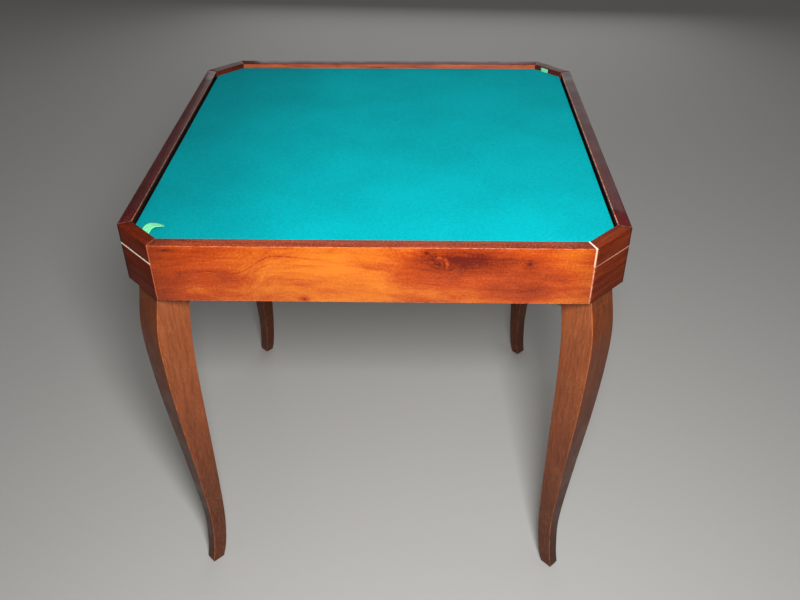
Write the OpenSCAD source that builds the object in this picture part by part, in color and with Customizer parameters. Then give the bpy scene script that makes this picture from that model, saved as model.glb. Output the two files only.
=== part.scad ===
// Square folding games table with canted corners, a lift-out baize board and four cabriole legs.
// Each leg folds inwards under the frame, a little off its diagonal so that opposite legs lie side by
// side. The front left and back right legs lie high, the other two are hinged lower and cross under them.
// Millimetres, +Z up, +X to the right, +Y to the back; the origin is on the floor under the table's centre.

/* [Table] */
// Width and depth over the frame
table_w = 760; // [700:5:820]
// Height of the rim above the floor
table_h = 757; // [737:5:787]

/* [Frame] */
// Height of the rails
rail_h = 96; // [90:1:110]
// Thickness of the rails, which is the width of the rim
rail_t = 20; // [18:1:22]
// How far each corner is cut back along both sides
corner_cut = 60; // [56:1:70]
// Height of the upper piece of each canted corner
cap_h = 31; // [26:1:36]
// Thickness of the pale line under the front left cap
wide_line = 2.4; // [1:0.1:3]
// Thickness of the pale line under the other three caps
fine_line = 1; // [0.6:0.1:2]
// Width of the pale line in the front right mitre, from the rim down to the cap's lower edge
mitre_line = 3; // [1:0.1:4]

/* [Board] */
// Depth of the baize below the rim
recess = 8; // [5:0.5:12]
// Thickness of the board under its baize
core_t = 8; // [6:0.5:10]
// Thickness of the baize
baize_t = 1; // [0.8:0.1:2]
// Gap all round between the board and the rails
board_gap = 3; // [2:0.5:4]
// Width of the two pull ribbons
ribbon_w = 18; // [12:1:24]

/* [Hinges] */
// Height of the corner blocks that carry the hinges
block_h = 34; // [32:1:40]
// Depth of the hinge line below the surface its bracket is screwed to
hinge_drop = 14; // [13.5:0.5:16]
// Thickness of the packing above the two low brackets
packing_t = 24; // [24:1:28]
// Angle between the way a leg folds and its diagonal
skew = 4; // [3.5:0.5:4.5]
// Radius of the hinge bolts
bolt_r = 4; // [3:0.5:4.5]

/* [Hidden] */
$fn = 48;

// Sides are turned from the right side, corners from the +X axis, so each is drawn once.
FRONT = 270;
RIGHT = 0;
BACK = 90;
LEFT = 180;
FRONT_LEFT = 225;
FRONT_RIGHT = 315;
BACK_RIGHT = 45;
BACK_LEFT = 135;

// Frame. A corner's distances are measured from the centre along its diagonal.
frame_z = table_h - rail_h;
half_w = table_w / 2;
mitre = tan(22.5);
rail_half = half_w - corner_cut;
corner_r = (table_w - corner_cut) / sqrt(2);
corner_half = corner_cut / sqrt(2);
cap_z = table_h - cap_h;
lower_mitre_line = mitre_line / 2;

// Corner blocks: six-sided in plan, with two faces on the rails and one on the canted corner
block_depth = 106;
block_half = 94;
block_r = corner_r - rail_t - block_depth;
block_face_half = corner_half - rail_t * mitre;

// Floor panel, in a groove along the four rails and notched round the corner blocks
panel_t = 5;
panel_z = frame_z + 15;
groove = 6;

// Cleats that carry the board
cleat = 12;
cleat_half = 280;
cleat_z = table_h - recess - baize_t - core_t - cleat;
cleat_screw_x = [90, 240];
screw_r = 2;
screw_head_r = 4;
screw_head_h = 2.5;
screw_l = 24;

// Screws through the ends of each corner block into the rails
block_screw_hold = 12;
block_screw_r = (half_w - rail_t - block_screw_hold) * sqrt(2) - block_half;
block_screw_z = [frame_z + 9, frame_z + 27];
pocket_l = 12;

// Board
board_half = half_w - rail_t - board_gap;
board_r = corner_r - rail_t - board_gap;
baize_z = table_h - recess - baize_t;
core_z = baize_z - core_t;
ribbon_t = 0.8;
ribbon_under = 36;
ribbon_over = 34;
ribbon_stand = 6;
tack_inset = 24;
tack_r = 0.8;
tack_head_r = 3.5;
tack_head_h = 1;
tack_l = 6;

// Hinges. The leg's top is planed flat to take a plate, whose two ears turn on the bolt inside the bracket.
leg_gap = 0.5;
hinge_inset = 59;
hinge_off = 12;
hinge_r = corner_r - hinge_inset - hinge_off;
housing_h = 50;
sheet = 2.5;
eye_r = 8.5;
ear_out = 23;
ear_t = 3;
cheek_out = 27;
fit_clear = 0.08;
base_front = 6.5;
base_back = 36;
bracket_screw_x = [-14, -29];
bracket_screw_y = 13;
bracket_screw_grip = 18;
pan_r = 3.8;
pan_h = 2;
plate_half = 23;
plate_long = 34;
plate_short = 10;
plate_screw_z = [16, 28];
plate_screw_y = 13;
bolt_head_r = 7.5;
bolt_head_h = 5;
bolt_end = 39;
nut_gap = 0.3;
nut_h = 8;
nut_r = 6.5;
wing_reach = 12.5;
wing_t = 3;
wing_h = 11.5;
wing_lobe_r = 4;
nut_turn = 35;

// Leg stations from the top down: share of the leg's length, inset of the outer face from the canted
// corner's face, depth along the diagonal, and width across it.
leg_stations = [
    [0.00, 8, 59, 55],
    [0.11, -5, 59, 55],
    [0.23, -5, 55, 54],
    [0.40, 2.5, 49, 48],
    [0.61, 16, 39, 37.5],
    [0.83, 27, 29.5, 25.5],
    [0.94, 22, 28, 22],
    [1.00, 15.5, 25, 21]];
leg_steps = 6;

// Slope of column k at station i, between its neighbours.
function slope(i, k) = let (a = max(i - 1, 0), b = min(i + 1, len(leg_stations) - 1))
    (leg_stations[b][k] - leg_stations[a][k]) / (leg_stations[b][0] - leg_stations[a][0]);
// Cubic curve of column k between station i and the next, at share u of the way.
function leg_curve(i, u, k) = let (
    a = leg_stations[i], b = leg_stations[i + 1], d = b[0] - a[0])
    a[k] * (2 * pow(u, 3) - 3 * u * u + 1) + b[k] * (3 * u * u - 2 * pow(u, 3))
    + d * slope(i, k) * (pow(u, 3) - 2 * u * u + u) + d * slope(i + 1, k) * (pow(u, 3) - u * u);
// Every cut through the leg: height, outer distance, inner distance, half width.
leg_cuts = [for (i = [0 : len(leg_stations) - 2], s = [0 : leg_steps])
    if (s < leg_steps || i == len(leg_stations) - 2)
    let (u = s / leg_steps, share = leg_stations[i][0] + u * (leg_stations[i + 1][0] - leg_stations[i][0]),
        outer = corner_r - leg_curve(i, u, 1))
    [(frame_z - leg_gap) * (1 - share), outer, outer - leg_curve(i, u, 2), leg_curve(i, u, 3) / 2]];
last_cut = len(leg_cuts) - 1;

module turned(angle) {
    rotate([0, 0, angle]) children();
}

// Plan of one rail, on the right side: mitred to meet the canted corners.
module rail_plan() {
    polygon([[half_w, -rail_half], [half_w, rail_half],
        [half_w - rail_t, rail_half - rail_t * mitre], [half_w - rail_t, -rail_half + rail_t * mitre]]);
}

// Plan of one canted corner piece, across the +X axis.
module corner_plan() {
    polygon([[corner_r, -corner_half], [corner_r, corner_half],
        [corner_r - rail_t, block_face_half], [corner_r - rail_t, -block_face_half]]);
}

// Square plan with its corners cut, from its half width and the distance of the cut from the centre.
module cut_square_plan(half, cut_r) {
    short = cut_r * sqrt(2) - half;
    polygon([[half, -short], [half, short], [short, half], [-short, half],
        [-half, short], [-half, -short], [-short, -half], [short, -half]]);
}

module floor_panel_shape() {
    translate([0, 0, panel_z]) linear_extrude(panel_t) difference() {
        cut_square_plan(half_w - rail_t + groove, corner_r - rail_t);
        for (corner = [FRONT_LEFT, FRONT_RIGHT, BACK_RIGHT, BACK_LEFT]) rotate(corner)
            translate([block_r, -block_half]) square([block_depth + rail_t, 2 * block_half]);
    }
}

// A countersunk screw along +X, its head's face at the origin.
module screw() {
    rotate([0, 90, 0]) {
        cylinder(h = screw_head_h, r1 = screw_head_r, r2 = screw_r);
        translate([0, 0, screw_head_h]) cylinder(h = screw_l - screw_head_h, r = screw_r);
    }
}

// The four screws of the cleat on the right side.
module cleat_screw_set() {
    for (x = cleat_screw_x, side = [-1, 1])
        translate([half_w - rail_t - cleat, side * x, cleat_z + cleat / 2]) screw();
}

// The four screws of the corner block on the +X axis, two into each rail.
module block_screw_set() {
    for (side = [-1, 1], z = block_screw_z)
        translate([block_screw_r, side * block_half, z]) rotate([0, 0, side * 45]) screw();
}

// The pockets that let those screws into the ends of the block.
module block_screw_pockets() {
    for (side = [-1, 1], z = block_screw_z)
        translate([block_screw_r, side * block_half, z]) rotate([0, 0, side * 45]) rotate([0, -90, 0])
            cylinder(h = pocket_l, r = screw_head_r);
}

// Puts its children at a corner's hinge: origin on the hinge line, +X outwards and +Y along the bolt.
module at_hinge(corner, drop) {
    turned(corner) translate([hinge_r, 0, frame_z - drop]) turned(skew) children();
}

// Extrudes a side view along the bolt, from one distance to another.
module along_bolt(from, to) {
    translate([0, to, 0]) rotate([90, 0, 0]) linear_extrude(to - from) children();
}

// Pale line in the mitre between the front rail and the front right corner.
module mitre_line_shape() {
    for (part = [[cap_z, cap_h, mitre_line], [frame_z, rail_h - cap_h, lower_mitre_line]])
        translate([0, 0, part[0]]) linear_extrude(part[1]) let (w = part[2] / cos(22.5))
            polygon([[rail_half - w, -half_w], [rail_half, -half_w],
                [rail_half - rail_t * mitre, -half_w + rail_t],
                [rail_half - rail_t * mitre - w, -half_w + rail_t]]);
}

module rail(side) {
    color("saddlebrown") difference() {
        turned(side) difference() {
            translate([0, 0, frame_z]) linear_extrude(rail_h) rail_plan();
            cleat_screw_set();
        }
        floor_panel_shape();
        for (corner = [FRONT_LEFT, FRONT_RIGHT, BACK_RIGHT, BACK_LEFT]) turned(corner) block_screw_set();
        if (side == FRONT) mitre_line_shape();
    }
}

module corner_cap(corner) {
    color("maroon") turned(corner) translate([0, 0, cap_z]) linear_extrude(cap_h) corner_plan();
}

module corner_panel(corner, line) {
    color("maroon") turned(corner) translate([0, 0, frame_z])
        linear_extrude(rail_h - cap_h - line) corner_plan();
}

module corner_line(corner, line) {
    color("wheat") turned(corner) translate([0, 0, cap_z - line]) linear_extrude(line) corner_plan();
}

// How far a corner's hinge line is below the frame: the high pair's or the low pair's.
function drop_of(corner) = hinge_drop + (corner == FRONT_RIGHT || corner == BACK_LEFT ? packing_t : 0);

// The four screws that hold a bracket up to its block, through the packing where there is one.
module bracket_screw_set(corner) {
    drop = drop_of(corner);
    at_hinge(corner, drop) for (x = bracket_screw_x, side = [-1, 1])
        translate([x, side * bracket_screw_y, hinge_drop - sheet]) {
            translate([0, 0, -pan_h]) cylinder(h = pan_h, r = pan_r);
            cylinder(h = sheet + drop - hinge_drop + bracket_screw_grip, r = screw_r);
        }
}

module corner_block(corner) {
    wing_r = corner_r - rail_t + block_face_half - block_half;
    color("burlywood") difference() {
        turned(corner) difference() {
            translate([0, 0, frame_z]) linear_extrude(block_h)
                polygon([[corner_r - rail_t, -block_face_half], [corner_r - rail_t, block_face_half],
                    [wing_r, block_half], [block_r, block_half],
                    [block_r, -block_half], [wing_r, -block_half]]);
            block_screw_set();
            block_screw_pockets();
        }
        bracket_screw_set(corner);
    }
}

module packing(corner) {
    color("burlywood") difference() {
        at_hinge(corner, drop_of(corner)) translate([-base_back, -cheek_out, hinge_drop])
            cube([base_back + base_front, 2 * cheek_out, packing_t]);
        bracket_screw_set(corner);
    }
}

module bracket_screws() {
    color("silver") for (corner = [FRONT_LEFT, FRONT_RIGHT, BACK_RIGHT, BACK_LEFT]) bracket_screw_set(corner);
}

// A channel of folded steel: a base against the block and two cheeks, each with an eye for the bolt.
module hinge_bracket(corner) {
    color("silver") difference() {
        at_hinge(corner, drop_of(corner)) difference() {
            union() {
                translate([-base_back, -cheek_out, hinge_drop - sheet])
                    cube([base_back + base_front, 2 * cheek_out, sheet]);
                for (inner = [-cheek_out, cheek_out - sheet]) along_bolt(inner, inner + sheet) {
                    circle(eye_r);
                    polygon([[-eye_r, 0], [eye_r, 0], [base_front, hinge_drop], [-base_back, hinge_drop]]);
                }
            }
            along_bolt(-cheek_out - 1, cheek_out + 1) circle(bolt_r);
        }
        bracket_screw_set(corner);
    }
}

module hinge_bolt(corner) {
    color("silver") at_hinge(corner, drop_of(corner)) {
        along_bolt(-cheek_out, bolt_end) circle(bolt_r);
        along_bolt(-cheek_out - bolt_head_h, -cheek_out) circle(bolt_head_r, $fn = 6);
    }
}

// A wing nut against the outer cheek: a round hub with two lobes on opposite sides.
module wing_nut(corner) {
    color("silver") at_hinge(corner, drop_of(corner)) translate([0, cheek_out + nut_gap, 0])
        rotate([-90, 0, 0]) rotate([0, 0, nut_turn]) difference() {
            union() {
                cylinder(h = nut_h, r = nut_r);
                along_bolt(-wing_t / 2, wing_t / 2) for (side = [-1, 1]) {
                    translate([side * (wing_reach - wing_lobe_r), wing_h - wing_lobe_r]) circle(wing_lobe_r);
                    polygon([[0, 1], [0, nut_h - 1], [side * (wing_reach - wing_lobe_r), wing_h],
                        [side * (wing_reach - wing_lobe_r / 2), wing_h - 2 * wing_lobe_r + 1]]);
                }
            }
            translate([0, 0, -1]) cylinder(h = nut_h + wing_h, r = bolt_r + fit_clear);
        }
}

module block_screws() {
    color("silver") for (corner = [FRONT_LEFT, FRONT_RIGHT, BACK_RIGHT, BACK_LEFT])
        turned(corner) block_screw_set();
}

module floor_panel() {
    color("burlywood") floor_panel_shape();
}

module cleat_bar(side) {
    color("burlywood") turned(side) difference() {
        translate([half_w - rail_t - cleat, -cleat_half, cleat_z]) cube([cleat, 2 * cleat_half, cleat]);
        cleat_screw_set();
    }
}

module cleat_screws() {
    color("silver") for (side = [FRONT, RIGHT, BACK, LEFT]) turned(side) cleat_screw_set();
}

// The tack of one ribbon, driven up into the board from below.
module tack() {
    translate([board_r - tack_inset, 0, core_z - ribbon_t - tack_head_h]) {
        cylinder(h = tack_head_h, r = tack_head_r);
        cylinder(h = tack_head_h + tack_l, r = tack_r);
    }
}

module board_core() {
    color("burlywood") difference() {
        translate([0, 0, core_z]) linear_extrude(core_t) cut_square_plan(board_half, board_r);
        for (corner = [FRONT_LEFT, BACK_RIGHT]) turned(corner) tack();
    }
}

module baize() {
    color("teal") translate([0, 0, baize_z]) linear_extrude(baize_t) cut_square_plan(board_half, board_r);
}

// A ribbon tacked under the board and brought up through the gap at a canted corner.
module ribbon_base(top_z) {
    difference() {
        translate([board_r - ribbon_under, -ribbon_w / 2, core_z - ribbon_t])
            cube([ribbon_under + ribbon_t, ribbon_w, ribbon_t]);
        tack();
    }
    translate([board_r, -ribbon_w / 2, core_z]) cube([ribbon_t, ribbon_w, top_z - core_z]);
}

module ribbon_front_left() {
    top_z = baize_z + baize_t;
    color("palegreen") turned(FRONT_LEFT) {
        ribbon_base(top_z);
        translate([board_r - ribbon_over, -ribbon_w / 2, top_z])
            cube([ribbon_over + ribbon_t, ribbon_w, ribbon_t]);
    }
}

module ribbon_back_right() {
    color("palegreen") turned(BACK_RIGHT) ribbon_base(baize_z + baize_t + ribbon_stand);
}

module ribbon_tacks() {
    color("silver") for (corner = [FRONT_LEFT, BACK_RIGHT]) turned(corner) tack();
}

// Side view of the leg cut across its width, narrowed by its front view.
module leg_shape() {
    intersection() {
        rotate([90, 0, 0]) translate([0, 0, -half_w / 2]) linear_extrude(half_w)
            polygon([for (c = leg_cuts) [c[1], c[0]],
                for (i = [0 : last_cut]) let (c = leg_cuts[last_cut - i]) [c[2], c[0]]]);
        rotate([90, 0, 90]) linear_extrude(table_w)
            polygon([for (c = leg_cuts) [c[3], c[0]],
                for (i = [0 : last_cut]) let (c = leg_cuts[last_cut - i]) [-c[3], c[0]]]);
    }
}

// The four screws of a leg's plate. The low pair's plates are fitted the other way up.
module leg_screw_set(corner) {
    up = drop_of(corner) == hinge_drop ? -1 : 1;
    turned(corner) for (z = plate_screw_z, side = [-1, 1])
        translate([hinge_r + hinge_off - sheet, side * plate_screw_y, frame_z - drop_of(corner) + up * z])
            screw();
}

module leg(corner) {
    color("sienna") difference() {
        turned(corner) difference() {
            leg_shape();
            translate([0, -half_w / 2, frame_z - housing_h]) cube([hinge_r + hinge_off, half_w, housing_h]);
        }
        leg_screw_set(corner);
    }
}

// A steel plate on the leg's planed face, with two ears that reach in to the bolt.
module leg_plate(corner) {
    drop = drop_of(corner);
    up = drop == hinge_drop ? -1 : 1;
    color("silver") difference() {
        intersection() {
            union() {
                turned(corner) translate([hinge_r + hinge_off - sheet, -plate_half,
                    frame_z - drop - (up < 0 ? plate_long : plate_short)])
                    cube([sheet, 2 * plate_half, plate_long + plate_short]);
                at_hinge(corner, drop) for (inner = [-ear_out, ear_out - ear_t])
                    along_bolt(inner, inner + ear_t) {
                        circle(eye_r);
                        polygon([[0, -eye_r], [2 * hinge_off, -eye_r], [2 * hinge_off, eye_r], [0, eye_r]]);
                    }
            }
            turned(corner) translate([0, -half_w / 2, 0]) cube([hinge_r + hinge_off, half_w, table_h]);
        }
        at_hinge(corner, drop) along_bolt(-cheek_out, cheek_out) circle(bolt_r + fit_clear);
        leg_screw_set(corner);
    }
}

module leg_screws(corner) {
    color("silver") leg_screw_set(corner);
}

rail(FRONT);  // rail_front
rail(RIGHT);  // rail_right
rail(BACK);  // rail_back
rail(LEFT);  // rail_left
corner_cap(FRONT_LEFT);  // corner_cap_front_left
corner_cap(FRONT_RIGHT);  // corner_cap_front_right
corner_cap(BACK_RIGHT);  // corner_cap_back_right
corner_cap(BACK_LEFT);  // corner_cap_back_left
corner_panel(FRONT_LEFT, wide_line);  // corner_panel_front_left
corner_panel(FRONT_RIGHT, fine_line);  // corner_panel_front_right
corner_panel(BACK_RIGHT, fine_line);  // corner_panel_back_right
corner_panel(BACK_LEFT, fine_line);  // corner_panel_back_left
union() {  // corner_lines
    corner_line(FRONT_LEFT, wide_line);
    for (corner = [FRONT_RIGHT, BACK_RIGHT, BACK_LEFT]) corner_line(corner, fine_line);
}
color("wheat") mitre_line_shape();  // mitre_line_front_right
corner_block(FRONT_LEFT);  // corner_block_front_left
corner_block(FRONT_RIGHT);  // corner_block_front_right
corner_block(BACK_RIGHT);  // corner_block_back_right
corner_block(BACK_LEFT);  // corner_block_back_left
block_screws();
floor_panel();
cleat_bar(FRONT);  // cleat_front
cleat_bar(RIGHT);  // cleat_right
cleat_bar(BACK);  // cleat_back
cleat_bar(LEFT);  // cleat_left
cleat_screws();
board_core();
baize();
ribbon_front_left();
ribbon_back_right();
ribbon_tacks();
packing(FRONT_RIGHT);  // packing_front_right
packing(BACK_LEFT);  // packing_back_left
bracket_screws();
hinge_bracket(FRONT_LEFT);  // hinge_bracket_front_left
hinge_bracket(FRONT_RIGHT);  // hinge_bracket_front_right
hinge_bracket(BACK_RIGHT);  // hinge_bracket_back_right
hinge_bracket(BACK_LEFT);  // hinge_bracket_back_left
hinge_bolt(FRONT_LEFT);  // hinge_bolt_front_left
hinge_bolt(FRONT_RIGHT);  // hinge_bolt_front_right
hinge_bolt(BACK_RIGHT);  // hinge_bolt_back_right
hinge_bolt(BACK_LEFT);  // hinge_bolt_back_left
wing_nut(FRONT_LEFT);  // wing_nut_front_left
wing_nut(FRONT_RIGHT);  // wing_nut_front_right
wing_nut(BACK_RIGHT);  // wing_nut_back_right
wing_nut(BACK_LEFT);  // wing_nut_back_left
leg(FRONT_LEFT);  // leg_front_left
leg(FRONT_RIGHT);  // leg_front_right
leg(BACK_RIGHT);  // leg_back_right
leg(BACK_LEFT);  // leg_back_left
leg_plate(FRONT_LEFT);  // leg_plate_front_left
leg_plate(FRONT_RIGHT);  // leg_plate_front_right
leg_plate(BACK_RIGHT);  // leg_plate_back_right
leg_plate(BACK_LEFT);  // leg_plate_back_left
leg_screws(FRONT_LEFT);  // leg_screws_front_left
leg_screws(FRONT_RIGHT);  // leg_screws_front_right
leg_screws(BACK_RIGHT);  // leg_screws_back_right
leg_screws(BACK_LEFT);  // leg_screws_back_left
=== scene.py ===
"""A square folding games table: veneered frame with canted corners, baize board and curved legs."""
import math

import bpy
import numpy as np
from mathutils import Matrix, Vector


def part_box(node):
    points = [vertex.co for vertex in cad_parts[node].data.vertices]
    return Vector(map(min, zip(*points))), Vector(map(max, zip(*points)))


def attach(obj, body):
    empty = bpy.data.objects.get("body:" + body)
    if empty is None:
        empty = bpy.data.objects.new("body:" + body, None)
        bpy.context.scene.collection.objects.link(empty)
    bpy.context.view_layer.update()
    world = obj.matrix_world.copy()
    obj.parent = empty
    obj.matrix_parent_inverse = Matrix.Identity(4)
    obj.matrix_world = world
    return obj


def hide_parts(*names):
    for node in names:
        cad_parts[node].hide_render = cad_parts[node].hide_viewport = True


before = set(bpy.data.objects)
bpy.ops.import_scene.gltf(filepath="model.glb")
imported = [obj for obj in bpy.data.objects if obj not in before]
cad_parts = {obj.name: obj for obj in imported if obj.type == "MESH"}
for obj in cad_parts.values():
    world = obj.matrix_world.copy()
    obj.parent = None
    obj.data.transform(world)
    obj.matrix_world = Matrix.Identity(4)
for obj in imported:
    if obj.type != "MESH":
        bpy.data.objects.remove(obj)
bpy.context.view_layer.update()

bl_info = {
    "name": "Folding games table",
    "version": (1, 0, 0),
    "blender": (4, 5, 0),
    "location": "View3D > Sidebar > Table",
    "description": "Builds the visible pieces and finishes of a folding games table",
    "category": "Object",
}

# Sides are turned from the right side and corners from the +X axis, in degrees about Z.
SIDES = {"front": 270, "right": 0, "back": 90, "left": 180}
CORNERS = {"front_left": 225, "front_right": 315, "back_right": 45, "back_left": 135}
MITRE = math.tan(math.radians(22.5))
MITRE_COS = math.cos(math.radians(22.5))
# Points in a quarter circle of a rail's, corner's or slip's rounded edge.
ARC_STEPS = 5


def turn(degrees):
    """The 3 by 3 matrix that turns row vectors about Z."""
    a = math.radians(degrees)
    return np.array([[math.cos(a), math.sin(a), 0], [-math.sin(a), math.cos(a), 0], [0, 0, 1]])


def reach(node, degrees):
    """Farthest distance of a node's points along a direction in plan, in metres."""
    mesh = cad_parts[node].data
    flat = np.empty(len(mesh.vertices) * 3)
    mesh.vertices.foreach_get("co", flat)
    a = math.radians(degrees)
    return float((flat.reshape(-1, 3)[:, :2] @ [math.cos(a), math.sin(a)]).max())


# Measures of the wooden frame, the board and the legs, in metres.
RIM_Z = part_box("rail_front")[1][2]
FRAME_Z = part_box("rail_front")[0][2]
RAIL_H = RIM_Z - FRAME_Z
HALF = reach("rail_right", 0)
CORNER_R = reach("corner_cap_front_right", 315)
RAIL_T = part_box("rail_left")[1][0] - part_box("rail_left")[0][0]
RAIL_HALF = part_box("rail_right")[1][1]
CAP_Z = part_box("corner_cap_front_left")[0][2]
CORNER_HALF = (HALF - RAIL_HALF) / math.sqrt(2)
BAIZE_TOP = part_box("baize")[1][2]
BAIZE_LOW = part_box("baize")[0][2]
BOARD_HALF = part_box("baize")[1][0]
BOARD_R = reach("baize", 45)
BOARD_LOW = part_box("board_core")[0][2]
LEG_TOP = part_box("leg_front_left")[1][2]


# ---------------------------------------------------------------- settings

def colour(name, default, description):
    """A linear RGB colour property."""
    return bpy.props.FloatVectorProperty(name=name, description=description, default=default,
                                         subtype="COLOR", min=0.0, max=1.0, size=3)


def length(name, default, description):
    """A length property in metres."""
    return bpy.props.FloatProperty(name=name, description=description, default=default, unit="LENGTH",
                                   min=0.0, precision=4)


class TableWood(bpy.types.PropertyGroup):
    """Colours and edges of the woodwork."""

    veneer_light: colour("Veneer light", (0.52, 0.135, 0.011), "Brightest figure of the rails' veneer")
    veneer_mid: colour("Veneer middle", (0.325, 0.040, 0.004), "General colour of the rails' veneer")
    veneer_dark: colour("Veneer dark", (0.090, 0.007, 0.003), "Darkest patches of the rails' veneer")
    rim_light: colour("Rim light", (0.105, 0.013, 0.008), "Brighter grain of the rim and corners")
    rim_dark: colour("Rim dark", (0.030, 0.004, 0.003), "Darker grain of the rim and corners")
    rim_fleck: colour("Rim flecks", (0.42, 0.085, 0.025), "Short bright flecks in the front rim")
    leg_light: colour("Leg light", (0.235, 0.058, 0.016), "Brighter grain at the top of the legs")
    leg_dark: colour("Leg dark", (0.075, 0.017, 0.006), "Darker grain at the foot of the legs")
    # Worn also paints the highlight along the veneered rails' top edge, and the pale line on the side rims'
    # inner edge.
    worn: colour("Worn edge", (0.78, 0.30, 0.17), "Edges and joints that are rubbed or catch dust")
    inlay: colour("Inlay", (0.95, 0.76, 0.58), "Pale lines in the corners")
    slip: colour("Slip", (0.60, 0.37, 0.25), "Pale slip in the front right mitre")
    slip_w: length("Slip width", 0.0024, "Width of the slip from the rim down to the cap's lower edge")
    slip_low_w: length("Lower slip width", 0.0012, "Width of the slip below the cap")
    edge_r: length("Edge radius", 0.0011, "Radius of the frame's long edges")
    leg_edge_r: length("Leg edge radius", 0.0016, "Radius of the legs' long edges")


class TableCloth(bpy.types.PropertyGroup):
    """Colours and sizes of the baize and its pull ribbons."""

    baize: colour("Baize", (0.0, 0.41, 0.455), "Colour of the baize")
    baize_dark: colour("Baize dark", (0.0, 0.33, 0.37), "Darker colour in the mottling of the baize")
    ribbon: colour("Ribbon", (0.20, 0.78, 0.40), "Colour of the pull ribbons")
    ribbon_w: length("Ribbon width", 0.018, "Width of the pull ribbons")
    baize_round: length("Baize edge", 0.0008, "Radius at which the baize turns down at its edge")


class TableSteel(bpy.types.PropertyGroup):
    """Colours of the hinges and fasteners."""

    plate: colour("Plating", (0.42, 0.41, 0.38), "Zinc plating of the hinges")
    # The screws' dull dark plating is partly painted shade, for the nut that shows in the shade under the
    # front rail.
    screw: colour("Screws", (0.42, 0.39, 0.31), "Yellowish plating of the screws and nuts")


class TableStage(bpy.types.PropertyGroup):
    """Camera and light."""

    camera_at: bpy.props.FloatVectorProperty(name="Camera", description="Place of the camera", size=3,
                                             default=(0.0677, -1.3791, 1.3782), subtype="TRANSLATION")
    yaw: bpy.props.FloatProperty(name="Yaw", description="Turn of the camera from +Y, to the right",
                                 default=math.radians(-1.542), subtype="ANGLE")
    pitch: bpy.props.FloatProperty(name="Pitch", description="Tilt of the camera below level",
                                   default=math.radians(35.473), subtype="ANGLE")
    roll: bpy.props.FloatProperty(name="Roll", description="Roll of the camera about its view",
                                  default=math.radians(-0.379), subtype="ANGLE")
    lens: bpy.props.FloatProperty(name="Lens", description="Focal length in millimetres", default=37.44)
    key: bpy.props.FloatProperty(name="Key light", description="Power of the key light", default=44.0,
                                 unit="POWER")
    floor: colour("Floor", (0.44, 0.435, 0.42), "Colour of the floor")


def wood():
    return bpy.context.scene.table_wood


def cloth():
    return bpy.context.scene.table_cloth


def steel():
    return bpy.context.scene.table_steel


def stage():
    return bpy.context.scene.table_stage


# ---------------------------------------------------------------- meshes

def grid_faces(rows, cols, closed=True):
    """Quads of a grid of points, row by row. Closed rows join their last point to their first."""
    i, j = np.meshgrid(np.arange(rows - 1), np.arange(cols if closed else cols - 1), indexing="ij")
    i, j = i.ravel(), j.ravel()
    after = (j + 1) % cols
    return np.stack([i * cols + j, (i + 1) * cols + j, (i + 1) * cols + after, i * cols + after], axis=1)


def end_faces(rows, cols, first=0):
    """The two faces that close the first and the last of the rows, from the index of the first point."""
    last = first + (rows - 1) * cols
    return [list(range(first, first + cols)), list(range(last + cols - 1, last - 1, -1))]


def new_piece(name, points, faces, body, materials, grain=None, to_end=None, caps=()):
    """Makes a mesh object from points, quads and a few end faces, and lets it ride on a body."""
    mesh = bpy.data.meshes.new(name)
    mesh.from_pydata(points.tolist(), [], faces.tolist() + list(caps))
    mesh.validate()
    if grain is not None:
        layer = mesh.attributes.new("grain", "FLOAT_VECTOR", "POINT")
        layer.data.foreach_set("vector", np.asarray(grain, np.float32).ravel())
    if to_end is not None:
        layer = mesh.attributes.new("to_end", "FLOAT", "POINT")
        layer.data.foreach_set("value", np.asarray(to_end, np.float32))
    mesh.polygons.foreach_set("use_smooth", np.full(len(mesh.polygons), True))
    for material in materials:
        mesh.materials.append(material)
    piece = bpy.data.objects.new(name, mesh)
    bpy.context.scene.collection.objects.link(piece)
    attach(piece, body)
    return piece


def rounded_outline(width, height, radius, steps):
    """Outline of a rectangle centred on the origin with quarter circles at its corners, anticlockwise."""
    a = np.linspace(0, math.pi / 2, steps)
    arcs = []
    for k, (sx, sy) in enumerate([(1, 1), (-1, 1), (-1, -1), (1, -1)]):
        centre = np.array([sx * (width / 2 - radius), sy * (height / 2 - radius)])
        angle = a + k * math.pi / 2
        arcs.append(centre + radius * np.stack([np.cos(angle), np.sin(angle)], axis=1))
    return np.concatenate(arcs)


def mitred_bar(half, low, high, face, depth, radius, cut, trim=(0.0, 0.0)):
    """A bar with mitred ends and rounded long edges, along Y with its outer face at x = face.

    Each point of the rounded outline is carried along Y from end to end. An end's place is half at the
    outer face, less the mitre times the depth, less its trim, and the outline shrinks by cut at each end.
    """
    outline = rounded_outline(depth, high - low, radius, ARC_STEPS)
    shrunk = rounded_outline(depth - 2 * cut, high - low - 2 * cut, max(radius - cut, cut), ARC_STEPS)
    middle = np.array([face - depth / 2, (low + high) / 2])
    rings, grain, to_end = [], [], []
    stops = [(share, 0, outline) for share in np.linspace(-1, 1, 13)[1:-1]]
    for share, inset, shape in ([(-1, 0, shrunk), (-1, cut, outline)] + stops
                                + [(1, cut, outline), (1, 0, shrunk)]):
        section = shape + middle
        reach_y = half - (face - section[:, 0]) * MITRE - inset - trim[0 if share < 0 else 1]
        ring = np.stack([section[:, 0], share * reach_y, section[:, 1]], axis=1)
        rings.append(ring)
        grain.append(np.stack([ring[:, 1], ring[:, 0] - face, ring[:, 2] - low], axis=1))
        to_end.append(reach_y * (1 - abs(share)) + inset)
    size = (len(rings), len(outline))
    return (np.concatenate(rings), grid_faces(*size), end_faces(*size), np.concatenate(grain),
            np.concatenate(to_end))


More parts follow.
